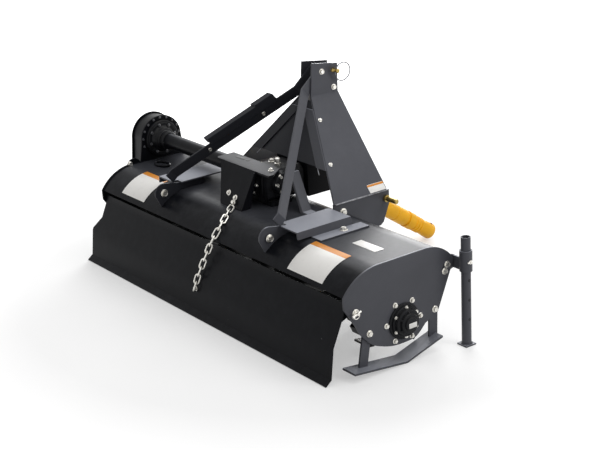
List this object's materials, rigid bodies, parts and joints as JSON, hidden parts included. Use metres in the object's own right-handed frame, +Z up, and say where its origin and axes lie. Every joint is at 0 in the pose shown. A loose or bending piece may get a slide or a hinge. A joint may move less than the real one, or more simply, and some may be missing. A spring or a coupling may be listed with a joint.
{
  "type": "rotary tiller",
  "caption": "Three-point rotary tiller with an arched hood over a bladed rotor, side drive, hinged rear flap, skids, parking stand and guarded drive shaft.",
  "frame": {"origin": "on the floor, below the middle of the whole machine's box", "axes": "+Y towards the tractor, +X to the machine's right as seen from behind, +Z up"},
  "size_m": [1.9166, 1.3302, 0.952],
  "materials": {
    "grey_paint": "satin charcoal grey paint",
    "black_paint": "satin black paint",
    "black_cast": "black paint over rough castings",
    "zinc": "silvery zinc plating",
    "gold_zinc": "yellow passivated zinc",
    "steel": "bare and greased steel",
    "yellow_plastic": "yellow safety plastic"
  },
  "bodies": {
    "root": {"hood": "black_paint", "right_side_plate": "grey_paint", "left_side_plate": "grey_paint", "side_drive_case": "black_cast", "side_drive_cover": "black_paint", "drive_flange": "black_cast", "cross_tube": "black_paint", "gearbox": "black_cast", "gearbox_bracket": "black_paint", "bearing_hub": "black_cast", "flap_rod": "zinc", "stand_bracket": "grey_paint", "top_hitch_pin": "gold_zinc", "mast_spacer": "black_paint", "mast_rear_panel": "grey_paint", "input_shield": "black_paint", "strut_box": "black_paint", "flap_chain": "zinc", "right_brace": "grey_paint", "right_mast_side": "grey_paint", "left_mast_side": "grey_paint", "right_strut": "grey_paint", "left_strut": "black_paint", "right_rear_bracket": "grey_paint", "left_rear_bracket": "black_paint", "right_deck_beam": "grey_paint", "left_deck_beam": "grey_paint", "right_hitch_plate": "grey_paint", "left_hitch_plate": "grey_paint", "right_hitch_pin": "gold_zinc", "left_hitch_pin": "gold_zinc", "right_skid": "black_paint", "left_skid": "black_paint"},
    "flap": {"rear_flap": "black_paint"},
    "stand": {"parking_stand": "grey_paint"},
    "rotor": {"rotor_shaft": "black_cast", "tine_disc_1": "black_cast", "tine_disc_2": "black_cast", "tine_disc_3": "black_cast", "tine_disc_4": "black_cast", "tine_disc_5": "black_cast", "tine_disc_6": "black_cast", "tine_disc_7": "black_cast"},
    "drive_guard": {"pto_guard": "yellow_plastic"},
    "drive_shaft": {"pto_shaft": "steel"},
    "input": {"input_yoke": "steel"}
  },
  "joints": [
    {"name": "flap_hinge", "type": "hinge", "parent": "root", "child": "flap", "pos_m": [-0.0297, -0.52314, 0.26], "axis": [-1, 0, 0], "range_deg": [0, 65], "deforming": ["flap_chain"]},
    {"name": "stand_slide", "type": "slide", "parent": "root", "child": "stand", "axis": [0, 0, 1], "range_m": [0, 0.28]},
    {"name": "rotor_spin", "type": "hinge", "parent": "root", "child": "rotor", "pos_m": [-0.0297, -0.29614, 0.16], "axis": [1, 0, 0], "continuous": true},
    {"name": "drive_swing", "type": "hinge", "parent": "root", "child": "drive_guard", "pos_m": [-0.0297, -0.03414, 0.5], "axis": [1, 0, 0], "range_deg": [0, 50]},
    {"name": "drive_spin", "type": "hinge", "parent": "drive_guard", "child": "drive_shaft", "pos_m": [-0.0297, -0.03414, 0.5], "axis": [0, 0.8231, -0.5678], "continuous": true},
    {"name": "input_spin", "type": "hinge", "parent": "root", "child": "input", "pos_m": [-0.0297, -0.03414, 0.5], "axis": [0, 1, 0], "continuous": true}
  ],
  "couplings": [
    {"joint": "drive_spin", "follows": "rotor_spin", "ratio": -2.5},
    {"joint": "input_spin", "follows": "rotor_spin", "ratio": -2.5}
  ]
}
